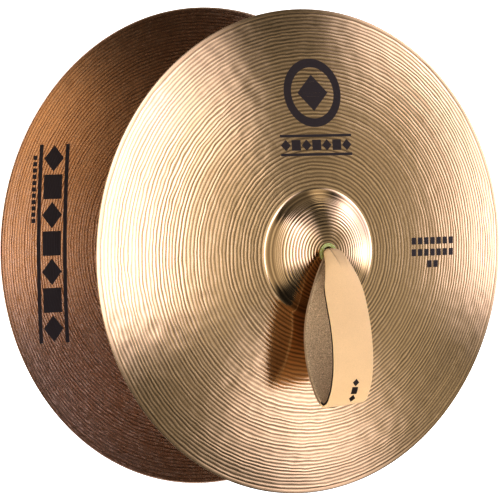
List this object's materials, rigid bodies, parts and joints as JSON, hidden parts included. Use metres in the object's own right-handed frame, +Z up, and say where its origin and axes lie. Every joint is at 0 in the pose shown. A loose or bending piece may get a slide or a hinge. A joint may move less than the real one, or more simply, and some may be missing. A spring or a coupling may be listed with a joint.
{
  "type": "hand cymbals",
  "caption": "Pair of domed bronze hand cymbals with raised bells, each held by a leather strap loop knotted through a lined centre hole.",
  "frame": {"origin": "on the common axis of the two discs, midway between their rim planes", "axes": "+Y runs from the front disc to the rear disc along the common axis, the front bell points to -Y; +Z up, the straps hang to -Z; +X completes the frame"},
  "size_m": [0.4572, 0.35, 0.4572],
  "materials": {
    "bronze": "lathed and hammered, bright",
    "nylon": "translucent",
    "strap_leather": "smooth vegetable tan",
    "strap_suede": "suede, napped",
    "strand_leather": "smooth, creased",
    "washer_leather": "thick, burnished edge"
  },
  "bodies": {
    "front_strap_grip": {"front_strap_leather": "strap_leather", "front_strap_lining": "strap_suede"},
    "front_knot_group": {"front_strap_neck": "strand_leather", "front_strap_knot": "strand_leather", "front_knot_washer": "washer_leather"},
    "front_disc": {"front_cymbal": "bronze", "front_hole_bush": "nylon"},
    "rear_strap_grip": {"rear_strap_leather": "strap_leather", "rear_strap_lining": "strap_suede"},
    "rear_knot_group": {"rear_strap_neck": "strand_leather", "rear_strap_knot": "strand_leather", "rear_knot_washer": "washer_leather"},
    "rear_disc": {"rear_cymbal": "bronze", "rear_hole_bush": "nylon"}
  },
  "joints": [
    {"name": "clash_slide", "type": "slide", "parent": "front_strap_grip", "child": "rear_strap_grip", "axis": [0, 1, 0], "range_m": [-0.1665, 0.3]},
    {"name": "front_swing", "type": "hinge", "parent": "front_strap_grip", "child": "front_knot_group", "pos_m": [0, -0.135, 0], "axis": [1, 0, 0], "range_deg": [0, 80]},
    {"name": "front_turn", "type": "hinge", "parent": "front_knot_group", "child": "front_disc", "pos_m": [0, -0.084, 0], "axis": [0, 1, 0], "continuous": true},
    {"name": "rear_swing", "type": "hinge", "parent": "rear_strap_grip", "child": "rear_knot_group", "pos_m": [0, 0.135, 0], "axis": [-1, 0, 0], "range_deg": [0, 80]},
    {"name": "rear_turn", "type": "hinge", "parent": "rear_knot_group", "child": "rear_disc", "pos_m": [0, 0.084, 0], "axis": [0, 1, 0], "continuous": true}
  ]
}
